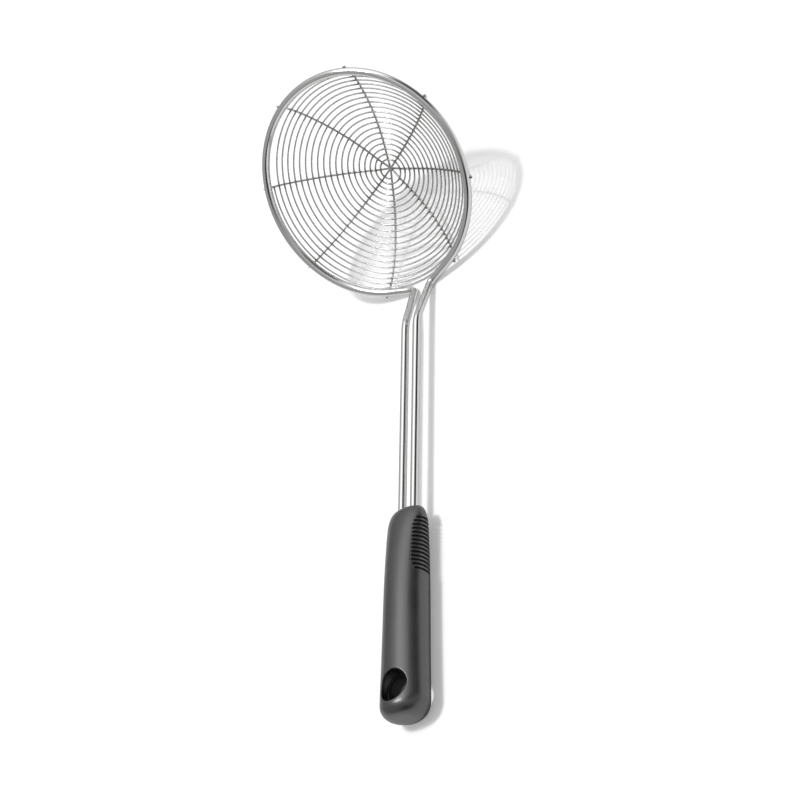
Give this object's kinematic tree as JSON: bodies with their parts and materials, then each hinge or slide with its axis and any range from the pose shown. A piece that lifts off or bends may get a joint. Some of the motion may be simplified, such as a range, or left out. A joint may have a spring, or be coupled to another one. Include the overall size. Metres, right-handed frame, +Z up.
{
  "type": "spider skimmer",
  "caption": "Long-handled spider skimmer with a shallow spiral-wire basket on a welded hoop, a two-rod neck and a soft-grip handle with a hanging hole.",
  "frame": {"origin": "centre of the bounding box in X and Y, at the table on which the skimmer rests", "axes": "+Y from the handle to the basket, +Z up from the table, X across; the basket opens towards +Z and -Y"},
  "size_m": [0.1324, 0.3604, 0.1006],
  "materials": {
    "frame_steel": "polished stainless wire",
    "basket_steel": "polished stainless wire",
    "core_plastic": "moulded, rigid",
    "grip_rubber": "matte soft-touch rubber"
  },
  "bodies": {
    "root": {"frame_wire": "frame_steel", "spiral_wire": "basket_steel", "rib_wire_1": "basket_steel", "rib_wire_2": "basket_steel", "rib_wire_3": "basket_steel", "rib_wire_4": "basket_steel", "handle_core": "core_plastic", "handle_grip": "grip_rubber"}
  },
  "joints": []
}
